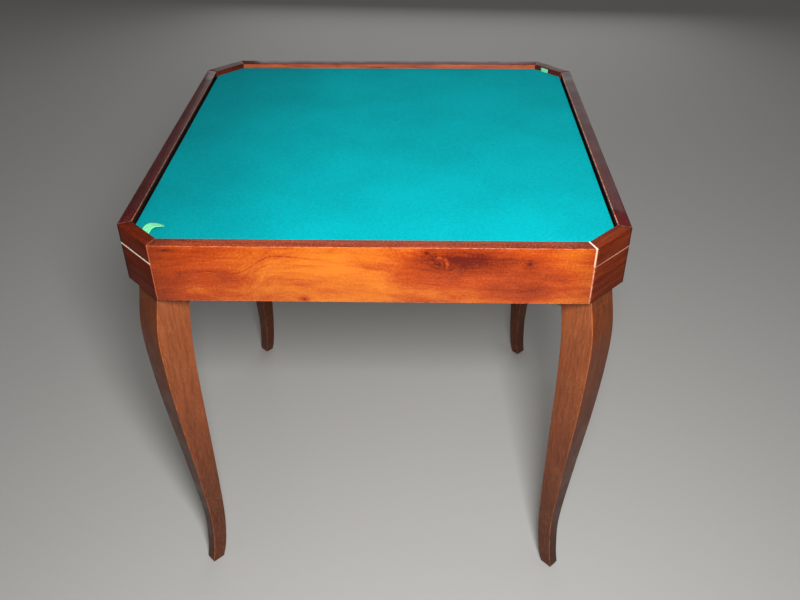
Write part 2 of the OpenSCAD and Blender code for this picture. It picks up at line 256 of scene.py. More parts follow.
def mitre_slip(parts):
    """The slip beside a rail's mitre, along Y with its outer face at x = HALF, for each (low, high, width).

    Each point of a rounded outline is carried across the slip, from the width to 0 away from the mitre, whose
    place along Y is RAIL_HALF less the mitre times the depth. The slip stands a hair proud of the rail.
    """
    proud, radius = 0.00004, 0.0007
    points, faces, caps = [], [], []
    for low, high, width in parts:
        outline = rounded_outline(RAIL_T + 2 * proud, high - low + 2 * proud, radius, ARC_STEPS)
        section = outline + [HALF - RAIL_T / 2, (low + high) / 2]
        count, first = len(section), len(caps) * len(section)
        for away in (width, 0.0):
            along = RAIL_HALF - (HALF - section[:, 0]) * MITRE - away / MITRE_COS
            points.append(np.stack([section[:, 0], along, section[:, 1]], axis=1))
        faces.append(grid_faces(2, count) + first)
        caps += end_faces(2, count, first)
    return np.concatenate(points), np.concatenate(faces), caps


def facing_slot(piece, direction, slot_index):
    """Puts the faces that look along a direction, but for the ends and edges, in another material slot."""
    faces = piece.data.polygons
    normals, slots = np.empty(len(faces) * 3), np.empty(len(faces), np.int32)
    faces.foreach_get("normal", normals)
    faces.foreach_get("material_index", slots)
    slots[normals.reshape(-1, 3) @ direction > 0.95] = slot_index
    faces.foreach_set("material_index", slots)


# ---------------------------------------------------------------- shader groups

def node_group(name, inputs, outputs):
    """A new shader node group with named sockets, its inputs as they are read, and its output node."""
    group = bpy.data.node_groups.new(name, "ShaderNodeTree")
    for label, kind, default in inputs:
        socket = group.interface.new_socket(name=label, in_out="INPUT", socket_type="NodeSocket" + kind)
        if default is not None:
            socket.default_value = default
    for label, kind in outputs:
        group.interface.new_socket(name=label, in_out="OUTPUT", socket_type="NodeSocket" + kind)
    return group, group.nodes.new("NodeGroupInput").outputs, group.nodes.new("NodeGroupOutput")


class Tree:
    """Short ways to add and join shader nodes in one tree."""

    def __init__(self, tree):
        self.tree = tree

    def put(self, node, socket, value):
        """Links a socket, or sets it to a plain value."""
        if isinstance(value, bpy.types.NodeSocket):
            self.tree.links.new(value, node.inputs[socket])
        else:
            node.inputs[socket].default_value = value

    def node(self, kind, settings=None, **sockets):
        """A node with its settings and inputs, whose names have _ for a space."""
        made = self.tree.nodes.new("ShaderNode" + kind)
        for key, value in (settings or {}).items():
            setattr(made, key, value)
        for key, value in sockets.items():
            self.put(made, key.replace("_", " "), value)
        return made

    def math(self, operation, a, b=0.0, clamp=False):
        """One scalar operation."""
        made = self.tree.nodes.new("ShaderNodeMath")
        made.operation, made.use_clamp = operation, clamp
        self.put(made, 0, a)
        self.put(made, 1, b)
        return made.outputs[0]

    def vector(self, operation, a, b):
        """One vector operation."""
        made = self.tree.nodes.new("ShaderNodeVectorMath")
        made.operation = operation
        self.put(made, 0, a)
        self.put(made, 1, b)
        return made.outputs["Value" if operation == "LENGTH" else "Vector"]

    def axis(self, vector, name):
        """One of a place's X, Y and Z."""
        return self.node("SeparateXYZ", Vector=vector).outputs[name]

    def noise(self, vector, scale, detail=3.0, rough=0.55, distortion=0.0):
        """Fractal noise from 0 to 1."""
        return self.node("TexNoise", Vector=vector, Scale=scale, Detail=detail, Roughness=rough,
                         Distortion=distortion).outputs["Fac"]

    def ramp(self, value, low, high, to_low=0.0, to_high=1.0):
        """A smooth step of a value between two levels."""
        made = self.tree.nodes.new("ShaderNodeMapRange")
        made.interpolation_type = "SMOOTHSTEP"
        for socket, level in (("Value", value), ("From Min", low), ("From Max", high), ("To Min", to_low),
                              ("To Max", to_high)):
            self.put(made, socket, level)
        return made.outputs["Result"]

    def mix(self, factor, a, b, blend="MIX"):
        """One colour mixed over another."""
        made = self.tree.nodes.new("ShaderNodeMix")
        made.data_type, made.blend_type = "RGBA", blend
        self.put(made, 0, factor)
        self.put(made, 6, a)
        self.put(made, 7, b)
        return made.outputs[2]

    def group(self, name, **sockets):
        """One of the shared groups placed in this tree, built the first time it is asked for."""
        made = self.tree.nodes.new("ShaderNodeGroup")
        made.node_tree = bpy.data.node_groups.get(name) or GROUPS[name](name)
        for key, value in sockets.items():
            self.put(made, key.replace("_", " "), value)
        return made.outputs


def build_patch(name):
    """A soft oval patch, 1 at its centre, with its outline broken by slow noise.

    The mask is e to the power of minus the squared distance, in units of the patch's reach along each axis.
    """
    group, entry, leave = node_group(
        name, [("Vector", "Vector", None), ("Centre", "Vector", (0, 0, 0)),
               ("Spread", "Vector", (20, 20, 20)), ("Ragged", "Float", 0.6)],
        [("Mask", "Float"), ("Span", "Float")])
    t = Tree(group)
    away = t.vector("SUBTRACT", entry["Vector"], entry["Centre"])
    warp = t.math("SUBTRACT", t.noise(entry["Vector"], 55.0, 3.0), 0.5)
    span = t.vector("LENGTH", t.vector("MULTIPLY", away, entry["Spread"]), (0, 0, 0))
    span = t.math("ADD", span, t.math("MULTIPLY", warp, entry["Ragged"]))
    t.put(leave, "Mask", t.math("POWER", math.e, t.math("MULTIPLY", t.math("MULTIPLY", span, span), -1.0)))
    t.put(leave, "Span", span)
    return group


def build_grain(name):
    """Wood grain along X: bands bent by a slow wander and an outside push, with fine fibres and pores."""
    group, entry, leave = node_group(
        name, [("Vector", "Vector", None), ("Push", "Float", 0.0), ("Band Scale", "Float", 60.0),
               ("Wander", "Float", 0.02), ("Stretch", "Float", 0.08), ("Fibre Scale", "Float", 900.0)],
        [("Bands", "Float"), ("Fibres", "Float"), ("Pores", "Float"), ("Cloud", "Float")])
    t = Tree(group)
    place = entry["Vector"]
    slow = t.vector("MULTIPLY", place, (1.0, 2.2, 2.2))
    wander = t.math("MULTIPLY", t.math("SUBTRACT", t.noise(slow, 6.5, 3.0), 0.5), entry["Wander"])
    shift = t.math("ADD", wander, entry["Push"])
    lift = t.node("CombineXYZ", X=0.0, Y=shift, Z=shift).outputs[0]
    bent = t.vector("ADD", place, lift)
    squeeze = t.node("CombineXYZ", X=entry["Stretch"], Y=1.0, Z=1.0).outputs[0]
    drawn = t.vector("MULTIPLY", bent, squeeze)
    bands = t.noise(drawn, entry["Band Scale"], 4.0, 0.62)
    fibre_pull = t.vector("MULTIPLY", bent, (0.035, 1.0, 1.0))
    fibres = t.noise(fibre_pull, entry["Fibre Scale"], 2.0, 0.6)
    pore_scale = t.math("MULTIPLY", entry["Fibre Scale"], 0.9)
    pores = t.noise(t.vector("MULTIPLY", bent, (0.06, 1.0, 1.0)), pore_scale, 1.0, 0.4)
    t.put(leave, "Bands", bands)
    t.put(leave, "Fibres", fibres)
    t.put(leave, "Pores", t.ramp(pores, 0.60, 0.70))
    t.put(leave, "Cloud", t.noise(slow, 11.0, 2.0, 0.5, 0.6))
    return group


def build_wear(name):
    """Faint handling marks: a mask of short fine scratches and a roughness that varies in soft patches."""
    group, entry, leave = node_group(
        name, [("Vector", "Vector", None), ("Scratch Amount", "Float", 0.3), ("Rough Low", "Float", 0.2),
               ("Rough High", "Float", 0.35)],
        [("Scratches", "Float"), ("Roughness", "Float")])
    t = Tree(group)
    turned = t.node("VectorRotate", {"rotation_type": "AXIS_ANGLE"}, Vector=entry["Vector"],
                    Axis=(0.35, 1.0, 0.2), Angle=0.9).outputs[0]
    lines = t.noise(t.vector("MULTIPLY", turned, (0.10, 1.0, 1.6)), 620.0, 1.0, 0.5)
    where = t.ramp(t.noise(entry["Vector"], 17.0, 2.0), 0.46, 0.60)
    marks = t.math("MULTIPLY", t.ramp(lines, 0.60, 0.67), where)
    t.put(leave, "Scratches", t.math("MULTIPLY", marks, entry["Scratch Amount"]))
    patches = t.noise(entry["Vector"], 24.0, 3.0)
    t.put(leave, "Roughness", t.ramp(patches, 0.3, 0.7, entry["Rough Low"], entry["Rough High"]))
    return group


def build_nap(name):
    """Felted nap: fine mottling, lint specks and the height of its matted fibres."""
    group, entry, leave = node_group(
        name, [("Vector", "Vector", None), ("Fibre Scale", "Float", 1500.0)],
        [("Mottle", "Float"), ("Lint", "Float"), ("Height", "Float")])
    t = Tree(group)
    place = entry["Vector"]
    fine = t.noise(place, entry["Fibre Scale"], 2.0, 0.7, 1.2)
    middle = t.noise(place, 260.0, 3.0, 0.7)
    broad = t.noise(place, 9.0, 3.0, 0.5)
    mottle = t.math("ADD", t.math("MULTIPLY", middle, 0.65), t.math("MULTIPLY", broad, 0.35))
    t.put(leave, "Mottle", t.ramp(mottle, 0.36, 0.64))
    t.put(leave, "Lint", t.ramp(t.noise(place, 420.0, 1.0), 0.73, 0.80))
    t.put(leave, "Height", t.math("ADD", t.math("MULTIPLY", fine, 0.6), t.math("MULTIPLY", middle, 0.4)))
    return group


def build_weave(name):
    """Plain weave on a piece's own UV map, in metres: crossed ribs, and a tone that drifts slowly."""
    group, entry, leave = node_group(
        name, [("Vector", "Vector", None), ("Threads", "Float", 2400.0)],
        [("Height", "Float"), ("Tone", "Float")])
    t = Tree(group)
    split = t.node("SeparateXYZ", Vector=entry["Vector"])
    ribs = [t.math("SINE", t.math("MULTIPLY", split.outputs[k], t.math("MULTIPLY", entry["Threads"], n)))
            for k, n in ((0, 1.0), (1, 1.6))]
    height = t.math("ADD", t.math("MULTIPLY", ribs[0], 0.25), t.math("MULTIPLY", ribs[1], 0.25))
    t.put(leave, "Height", t.math("ADD", height, 0.5))
    t.put(leave, "Tone", t.noise(entry["Vector"], 160.0, 2.0))
    return group


def build_veneer_wear(name):
    """Where a veneered rail is rubbed at its mitres, and broken lines along its outer edges: wear at the
    foot, and a painted highlight with some wear at the top.

    The mitres come from the distance to the end. The edges are bands of that height at the foot and the top,
    as far as they lie at the outer face.
    """
    band = 0.0016
    group, entry, leave = node_group(name, [("Vector", "Vector", None), ("To End", "Float", 1.0)],
                                     [("Mask", "Float")])
    t = Tree(group)
    split = t.node("SeparateXYZ", Vector=entry["Vector"])
    ragged = t.ramp(t.noise(entry["Vector"], 130.0, 3.0), 0.38, 0.60)
    foot = t.math("MULTIPLY", t.ramp(split.outputs["Z"], band, 0.4 * band),
                  t.ramp(split.outputs["Y"], -0.004, -0.001))
    # Painted highlight: the band along the top outer edge, with some wear.
    top = t.math("MULTIPLY", t.ramp(split.outputs["Z"], RAIL_H - band, RAIL_H - 0.4 * band),
                 t.ramp(split.outputs["Y"], -0.0016, -0.0004))
    edges = t.math("MULTIPLY", t.math("MAXIMUM", foot, top), ragged)
    t.put(leave, "Mask", t.math("MAXIMUM", t.ramp(entry["To End"], 0.0009, 0.0004), edges))
    return group


def build_rim_wear(name):
    """Dusty mitres of a rim or corner, and a pale line along its upper inner edge."""
    group, entry, leave = node_group(
        name, [("Vector", "Vector", None), ("To End", "Float", 1.0), ("Dusty", "Float", 0.25),
               ("Inner", "Float", 0.0)], [("Mask", "Float")])
    t = Tree(group)
    split = t.node("SeparateXYZ", Vector=entry["Vector"])
    broken = t.ramp(t.noise(entry["Vector"], 150.0, 2.0), 0.35, 0.6, 0.3, 1.0)
    joint = t.math("MULTIPLY", t.ramp(entry["To End"], 0.0008, 0.0003), entry["Dusty"])
    edge = t.math("MULTIPLY", t.ramp(split.outputs["Y"], 0.0018 - RAIL_T, 0.0010 - RAIL_T),
                  t.ramp(split.outputs["Z"], RAIL_H - 0.0014, RAIL_H - 0.0007))
    lines = t.math("MAXIMUM", joint, t.math("MULTIPLY", edge, entry["Inner"]))
    t.put(leave, "Mask", t.math("MULTIPLY", lines, broken))
    return group


GROUPS = {"Patch": build_patch, "Wood grain": build_grain, "Wear": build_wear, "Nap": build_nap,
          "Weave": build_weave, "Veneer wear and highlight": build_veneer_wear, "Rim dust and edge line": build_rim_wear}


# ---------------------------------------------------------------- materials

def new_material(name, roughness=0.5, **constants):
    """A node material with its Principled BSDF, and sockets that are the same all over set on it."""
    material = bpy.data.materials.new(name)
    material.use_nodes = True
    t = Tree(material.node_tree)
    shader = material.node_tree.nodes["Principled BSDF"]
    shader.inputs["Roughness"].default_value = roughness
    for key, value in constants.items():
        shader.inputs[key.replace("_", " ")].default_value = value
    return material, t, shader


def grain_place(t):
    """A wood piece's own place: X along its grain, in metres."""
    return t.node("Attribute", {"attribute_name": "grain"}).outputs["Vector"]


def end_mark(t):
    """A wood piece's own distance to its end, or on a leg its mark of faces and edges."""
    return t.node("Attribute", {"attribute_name": "to_end"}).outputs["Fac"]


def object_place(t):
    """The place in the table's own frame, in metres."""
    return t.node("TexCoord").outputs["Object"]


def bump(t, shader, height, strength, distance):
    """Feeds a height to the shader's normal."""
    made = t.node("Bump", Height=height, Strength=strength, Distance=distance)
    t.put(shader, "Normal", made.outputs["Normal"])


def rgba(value, share=1.0):
    """A colour, or a darker share of it, with its alpha."""
    return (*(c * share for c in value), 1.0)


def veneer(name, patches, lines_at, seed):
    """Lacquered veneer: flowing grain with a step in its run, thin dark lines, soft clouds and knots.

    The tone starts at a general level. Clouds, streaks and fibres move it a little, patches lower or raise
    it, and thin lines follow the bent grain.
    """
    material, t, shader = new_material(name, Coat_Weight=0.30, Coat_Roughness=0.07, Specular_IOR_Level=0.22)
    place = grain_place(t)
    shifted = t.vector("ADD", place, seed)
    split = t.node("SeparateXYZ", Vector=place)
    start, rise, fade = lines_at
    step = t.math("MULTIPLY", t.ramp(split.outputs["X"], start, start + 0.055), rise)
    bend = t.math("MULTIPLY", step, t.ramp(split.outputs["X"], fade, start + 0.09))
    bend = t.math("MULTIPLY", bend, -1.0)
    tone, heart, push = 0.61, 0.0, bend
    for x, z, spread_x, spread_z, strength, swirl in patches:
        patch = t.group("Patch", Vector=place, Centre=(x, 0.0, z),
                        Spread=(spread_x, 0.0, spread_z), Ragged=0.55)
        tone = t.math("ADD", t.math("MULTIPLY", patch["Mask"], strength), tone)
        push = t.math("ADD", t.math("MULTIPLY", patch["Mask"], swirl), push)
        if swirl > 0.003:
            heart = t.math("ADD", t.ramp(patch["Span"], 0.42, 0.05), heart, clamp=True)
        if swirl > 0.013:
            ring = t.ramp(t.math("ABSOLUTE", t.math("SUBTRACT", patch["Span"], 0.85)), 0.34, 0.05)
            broken = t.ramp(t.noise(place, 75.0, 2.0), 0.46, 0.60)
            tone = t.math("ADD", t.math("MULTIPLY", t.math("MULTIPLY", ring, broken), 0.42), tone)
    grain = t.group("Wood grain", Vector=shifted, Push=push, Band_Scale=62.0,
                    Wander=0.035, Stretch=0.10, Fibre_Scale=620.0)
    height = t.math("ADD", split.outputs["Z"], push)
    wander = t.noise(t.vector("MULTIPLY", shifted, (0.35, 1.0, 1.0)), 26.0, 2.0)
    offset = t.math("MULTIPLY", t.math("SUBTRACT", wander, 0.5), 0.022)
    phase = t.math("MULTIPLY", t.math("ADD", height, offset), math.pi / 0.0125)
    line = t.ramp(t.math("ABSOLUTE", t.math("SINE", phase)), 0.36, 0.02)
    shown = t.ramp(t.noise(t.vector("MULTIPLY", shifted, (0.22, 1.0, 1.0)), 34.0, 2.0), 0.50, 0.66)
    near = t.ramp(t.math("ABSOLUTE", t.math("SUBTRACT", split.outputs["X"], start + 0.04)), 0.15, 0.06)
    upper = t.ramp(t.math("ABSOLUTE", t.math("SUBTRACT", height, 0.050)), 0.010, 0.005)
    lower = t.math("MULTIPLY", t.ramp(t.math("ABSOLUTE", t.math("SUBTRACT", height, 0.0375)), 0.010, 0.005),
                   t.ramp(split.outputs["X"], start + 0.02, start + 0.05, 0.0, 0.8))
    near = t.math("MULTIPLY", near, t.math("MAXIMUM", upper, lower))
    near = t.math("MULTIPLY", near, t.ramp(t.noise(place, 70.0, 2.0), 0.30, 0.55, 0.45, 1.0))
    line = t.math("MULTIPLY", line, t.math("MAXIMUM", t.math("MULTIPLY", shown, 0.45), near))
    speckle = t.noise(shifted, 300.0, 3.0, 0.7)
    for value, level, amount in ((grain["Cloud"], 0.5, 0.70), (grain["Bands"], 0.5, 0.85),
                                 (grain["Fibres"], 0.5, 0.45), (speckle, 0.5, 0.75), (line, 0.0, -0.30),
                                 (heart, 0.0, -0.40)):
        tone = t.math("ADD", t.math("MULTIPLY", t.math("SUBTRACT", value, level), amount), tone)
    level = t.node("ValToRGB", Fac=tone)
    level.color_ramp.elements[0].color = rgba(wood().veneer_dark)
    level.color_ramp.elements[1].color = rgba(wood().veneer_light)
    level.color_ramp.elements.new(0.5).color = rgba(wood().veneer_mid)
    base = level.outputs["Color"]
    wear = t.group("Wear", Vector=shifted, Scratch_Amount=0.06, Rough_Low=0.24,
                   Rough_High=0.36)
    based = t.mix(wear["Scratches"], base, rgba(wood().worn))
    # The rubbed mask is wear at the mitres and foot, and a painted highlight along the top edge.
    rubbed = t.group("Veneer wear and highlight", Vector=place, To_End=end_mark(t))
    t.put(shader, "Base Color", t.mix(t.math("MULTIPLY", rubbed["Mask"], 0.75), based, rgba(wood().worn)))
    t.put(shader, "Roughness", wear["Roughness"])
    bump(t, shader, grain["Fibres"], 0.08, 0.0003)
    return material


def rim_wood(name, light=None, dark=None, flecks=0.12, dusty=0.25, polish=(0.06, 0.08), inner=0.0):
    """Dark mahogany of the rim and corners: fine straight grain under a thin polish, rubbed at the joints.

    The polish is the weight of its coat and its specular level. Inner draws a pale line along the rim's upper
    inner edge.
    """
    material, t, shader = new_material(name, Coat_Weight=polish[0], Coat_Roughness=0.10,
                                       Specular_IOR_Level=polish[1])
    place = grain_place(t)
    light, dark = light or tuple(wood().rim_light), dark or tuple(wood().rim_dark)
    grain = t.group("Wood grain", Vector=place, Push=0.0, Band_Scale=95.0, Wander=0.02,
                    Stretch=0.07, Fibre_Scale=800.0)
    base = t.mix(t.ramp(grain["Bands"], 0.35, 0.68), rgba(dark), rgba(light))
    cloudy = t.mix(t.math("MULTIPLY", t.ramp(grain["Cloud"], 0.45, 0.75), 0.5), base, rgba(light))
    dashes = t.noise(t.vector("MULTIPLY", place, (0.45, 1.0, 1.0)), 720.0, 2.0, 0.7)
    speckled = t.mix(t.math("MULTIPLY", t.ramp(dashes, 0.47, 0.62), flecks), cloudy, rgba(wood().rim_fleck))
    pored = t.mix(t.math("MULTIPLY", grain["Pores"], 0.5), speckled, rgba(dark, 0.5))
    wear = t.group("Wear", Vector=place, Scratch_Amount=0.10, Rough_Low=0.26,
                   Rough_High=0.42)
    worn = t.mix(wear["Scratches"], pored, rgba(wood().leg_light))
    rubbed = t.group("Rim dust and edge line", Vector=place, To_End=end_mark(t), Dusty=dusty,
                     Inner=inner)
    t.put(shader, "Base Color", t.mix(rubbed["Mask"], worn, rgba(wood().worn)))
    t.put(shader, "Roughness", wear["Roughness"])
    bump(t, shader, grain["Fibres"], 0.12, 0.0004)
    return material


def leg_wood():
    """Satin stained wood of the legs: fine grain up the leg, darker towards the foot, lightly scratched, with
    painted shade on the outer faces.
    """
    material, t, shader = new_material("Leg wood", Specular_IOR_Level=0.22, Coat_Weight=0.04,
                                       Coat_Roughness=0.3)
    place = grain_place(t)
    grain = t.group("Wood grain", Vector=place, Push=0.0, Band_Scale=150.0, Wander=0.012,
                    Stretch=0.05, Fibre_Scale=1100.0)
    up = t.ramp(t.axis(place, "X"), 0.0, 0.62)
    tone = t.mix(up, rgba(wood().leg_dark), rgba(wood().leg_light))
    streaked = t.mix(t.ramp(grain["Bands"], 0.62, 0.36, 0.0, 0.42), tone, rgba(wood().leg_dark))
    pale = t.mix(t.ramp(grain["Fibres"], 0.50, 0.66, 0.0, 0.30), streaked, (0.42, 0.14, 0.055, 1.0))
    fibred = t.mix(t.math("MULTIPLY", grain["Pores"], 0.20), pale, rgba(wood().leg_dark, 0.5))
    wear = t.group("Wear", Vector=place, Scratch_Amount=0.28, Rough_Low=0.38,
                   Rough_High=0.52)
    scratched = t.mix(wear["Scratches"], fibred, (0.62, 0.26, 0.10, 1.0))
    mark = end_mark(t)
    arris = t.ramp(mark, 0.9, 0.2)
    rubbed = t.math("MULTIPLY", arris, t.ramp(t.noise(place, 60.0, 3.0), 0.40, 0.62, 0.15, 0.75))
    # Painted shade: the outer faces, marked 2, are darkened where less light falls on them.
    outer_shaded = t.mix(t.ramp(mark, 1.2, 1.8), scratched, (0.54, 0.48, 0.40, 1.0), "MULTIPLY")
    t.put(shader, "Base Color", t.mix(rubbed, outer_shaded, (0.42, 0.110, 0.030, 1.0)))
    t.put(shader, "Roughness", wear["Roughness"])
    bump(t, shader, grain["Fibres"], 0.25, 0.0005)
    return material


def plain_wood(name, tone, dark, along):
    """Unfinished wood in the table's frame, with its grain drawn out along one axis."""
    material, t, shader = new_material(name, 0.7, Specular_IOR_Level=0.25)
    turned = t.node("Mapping", {"vector_type": "POINT"}, Vector=object_place(t), Rotation=along).outputs[0]
    grain = t.group("Wood grain", Vector=turned, Push=0.0, Band_Scale=85.0, Wander=0.03,
                    Stretch=0.06, Fibre_Scale=700.0)
    base = t.mix(t.ramp(grain["Bands"], 0.3, 0.7), rgba(dark), rgba(tone))
    t.put(shader, "Base Color", t.mix(t.math("MULTIPLY", grain["Pores"], 0.5), base, rgba(dark, 0.6)))
    bump(t, shader, grain["Fibres"], 0.3, 0.0005)
    return material


def inlay_wood():
    """Pale line wood in the corners, stained in places. The right ones are grimy and fade at the mitre."""
    material, t, shader = new_material("Pale inlay", 0.4, Coat_Weight=0.1, Specular_IOR_Level=0.25)
    place = object_place(t)
    stain = t.ramp(t.noise(place, 90.0, 3.0), 0.5, 0.72, 0.0, 0.35)
    base = t.mix(stain, rgba(wood().inlay), (0.62, 0.36, 0.18, 1.0))
    across = t.axis(place, "X")
    fading = t.ramp(across, RAIL_HALF + 0.040, RAIL_HALF, 0.72, 0.93)
    grime = t.math("MULTIPLY", fading, t.ramp(across, 0.0, 0.1))
    t.put(shader, "Base Color", t.mix(grime, base, (0.30, 0.085, 0.045, 1.0)))
    bump(t, shader, t.noise(place, 900.0, 2.0), 0.15, 0.0003)
    return material


def slip_wood():
    """Pale slip of the front right mitre: clean beside the cap, ruddy and broken below it."""
    material, t, shader = new_material("Mitre slip", 0.4, Specular_IOR_Level=0.25)
    place = object_place(t)
    height = t.axis(place, "Z")
    paler = t.mix(t.ramp(height, RIM_Z - 0.0015, RIM_Z), rgba(wood().slip), rgba(wood().inlay))
    below = t.math("MULTIPLY", t.ramp(height, CAP_Z + 0.001, CAP_Z - 0.001),
                   t.ramp(t.noise(place, 150.0, 2.0, 0.6), 0.40, 0.60, 0.45, 0.95))
    t.put(shader, "Base Color", t.mix(below, paler, (0.30, 0.075, 0.040, 1.0)))
    bump(t, shader, t.noise(place, 900.0, 2.0), 0.15, 0.0003)
    return material


def baize_cloth():
    """Felted baize: matt, mottled and softly lit at its fibres, with painted shade towards the left."""
    material, t, shader = new_material("Baize", 0.95, Specular_IOR_Level=0.04, Sheen_Weight=0.02,
                                       Sheen_Roughness=0.5, Sheen_Tint=(0.1, 0.8, 0.85, 1.0))
    place = object_place(t)
    nap = t.group("Nap", Vector=place, Fibre_Scale=1500.0)
    base = t.mix(nap["Mottle"], rgba(cloth().baize_dark), rgba(cloth().baize))
    linted = t.mix(t.math("MULTIPLY", nap["Lint"], 0.12), base, (0.3, 0.65, 0.65, 1.0))
    # Painted shade: the cloth darkens towards the left, where less light falls on it.
    shade = t.ramp(t.axis(place, "X"), -0.36, -0.05, 0.33, 0.05)
    t.put(shader, "Base Color", t.mix(shade, linted, (0.0, 0.0, 0.0, 1.0)))
    bump(t, shader, nap["Height"], 0.55, 0.0006)
    return material


def ribbon_cloth():
    """Satin ribbon, ribbed across, on its own UV map."""
    material, t, shader = new_material("Ribbon", 0.45, Specular_IOR_Level=0.3, Sheen_Weight=0.04)
    weave = t.group("Weave", Vector=t.node("UVMap", {"uv_map": "ribbon"}).outputs[0], Threads=6000.0)
    tone = t.mix(t.ramp(weave["Tone"], 0.3, 0.7), rgba(cloth().ribbon, 0.8), rgba(cloth().ribbon))
    t.put(shader, "Base Color", tone)
    bump(t, shader, weave["Height"], 0.3, 0.0002)
    return material


def plated_metal(name, tone, roughness, dull):
    """Zinc-plated steel: mottled passivation with faint brushing and dull spots."""
    material, t, shader = new_material(name, roughness, Metallic=1.0)
    place = object_place(t)
    mottle = t.ramp(t.noise(place, 160.0, 4.0, 0.6), 0.35, 0.7)
    t.put(shader, "Base Color", t.mix(mottle, rgba(tone, dull), rgba(tone)))
    t.put(shader, "Roughness", t.ramp(t.noise(place, 420.0, 3.0), 0.3, 0.7, roughness, roughness + 0.18))
    bump(t, shader, t.noise(t.vector("MULTIPLY", place, (1.0, 1.0, 0.1)), 1400.0, 2.0), 0.12, 0.0002)
    return material


def coat_nodes(material, *prefixes):
    """Gives one material to every loaded part whose name starts with one of the prefixes."""
    for name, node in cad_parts.items():
        if name.startswith(prefixes):
            node.data.materials.clear()
            node.data.materials.append(material)


# ---------------------------------------------------------------- operators

# Patches in a rail's veneer: centre along and up, fall per metre along and up, change of tone, and how far
# the grain is pushed aside. Strong pushes are knots.
FRONT_FIGURE = [
    (0.079, 0.087, 95.0, 140.0, -0.16, 0.006),
    (0.097, 0.068, 75.0, 80.0, -0.06, 0.018),
    (0.227, 0.069, 110.0, 120.0, -0.16, 0.008),
    (-0.100, 0.005, 130.0, 190.0, -0.34, 0.004),
    (-0.294, 0.088, 95.0, 420.0, -0.34, 0.0),
    (-0.330, 0.045, 9.0, 8.0, -0.22, 0.0),
    (-0.225, 0.040, 24.0, 34.0, -0.16, 0.0),
    (-0.070, 0.045, 8.0, 11.0, 0.26, 0.0),
    (0.030, 0.030, 11.0, 22.0, 0.18, 0.0),
    (0.125, 0.078, 15.0, 36.0, -0.34, 0.0),
    (0.058, 0.052, 20.0, 34.0, -0.26, 0.0),
    (0.185, 0.055, 8.0, 16.0, -0.20, 0.0),
    (0.235, 0.024, 9.0, 55.0, -0.14, 0.0),
    (0.285, 0.072, 32.0, 45.0, 0.20, 0.0),
    (0.318, 0.080, 70.0, 60.0, -0.22, 0.0),
]
SIDE_FIGURE = [
    (0.12, 0.040, 60.0, 75.0, -0.15, 0.014),
    (-0.19, 0.070, 14.0, 34.0, -0.30, 0.0),
    (0.05, 0.050, 8.0, 14.0, 0.20, 0.0),
    (0.24, 0.030, 10.0, 20.0, -0.25, 0.0),
]
FRONT_STEP = (-0.198, 0.028, 0.20)
SIDE_STEP = (0.02, 0.018, 0.30)


class TABLE_OT_rails(bpy.types.Operator):
    """Makes the four rails, veneered on their outer faces, with rounded edges and mitred ends"""

    bl_idname = "table.rails"
    bl_label = "Rails"

    def execute(self, context):
        speckled = rim_wood("Speckled mahogany", (0.24, 0.034, 0.014), (0.11, 0.014, 0.008), 0.75, 0.6)
        # Painted reflection: the side rims are darker and purple, partly their own darker wood and partly a
        # cool sheen on their polish.
        cool_light, cool_dark, polish = (0.064, 0.008, 0.009), (0.027, 0.004, 0.005), (0.11, 0.14)
        right = rim_wood("Right mahogany", cool_light, cool_dark, 0.08, 0.25, polish, 0.75)
        left = rim_wood("Left mahogany", cool_light, cool_dark, 0.08, 0.25, polish, 0.25)
        glossy = rim_wood("Glossy mahogany", None, None, 0.12, 0.25, (0.16, 0.20))
        rims = {"front": speckled, "right": right, "back": glossy, "left": left}
        inner_dark = rim_wood("Dark inner face", (0.016, 0.005, 0.004), (0.008, 0.003, 0.002), 0.0, 0.0,
                              (0.0, 0.05))
        bare = rim_wood("Bare inner face", (0.46, 0.105, 0.045), (0.24, 0.040, 0.018), 0.2)
        slip_w = wood().slip_low_w / MITRE_COS
        for index, (side, angle) in enumerate(SIDES.items()):
            trim = (0.0, slip_w) if side == "front" else (0.0, 0.0)
            points, faces, caps, grain, to_end = mitred_bar(RAIL_HALF, FRAME_Z, RIM_Z, HALF, RAIL_T,
                                                            wood().edge_r, 0.00025, trim)
            front = side == "front"
            face = veneer(f"Veneer {side}", FRONT_FIGURE if front else SIDE_FIGURE,
                          FRONT_STEP if front else SIDE_STEP, (1.7 * index, 0.9 * index, 0.31 * index))
            inner = bare if side == "back" else inner_dark
            piece = new_piece(f"rail_{side}_finished", points @ turn(angle), faces, "frame",
                              [rims[side], face, inner], grain, to_end, caps=caps)
            a = math.radians(angle)
            facing_slot(piece, (math.cos(a), math.sin(a), 0), 1)
            facing_slot(piece, (-math.cos(a), -math.sin(a), 0), 2)
            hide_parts(f"rail_{side}")
        return {"FINISHED"}


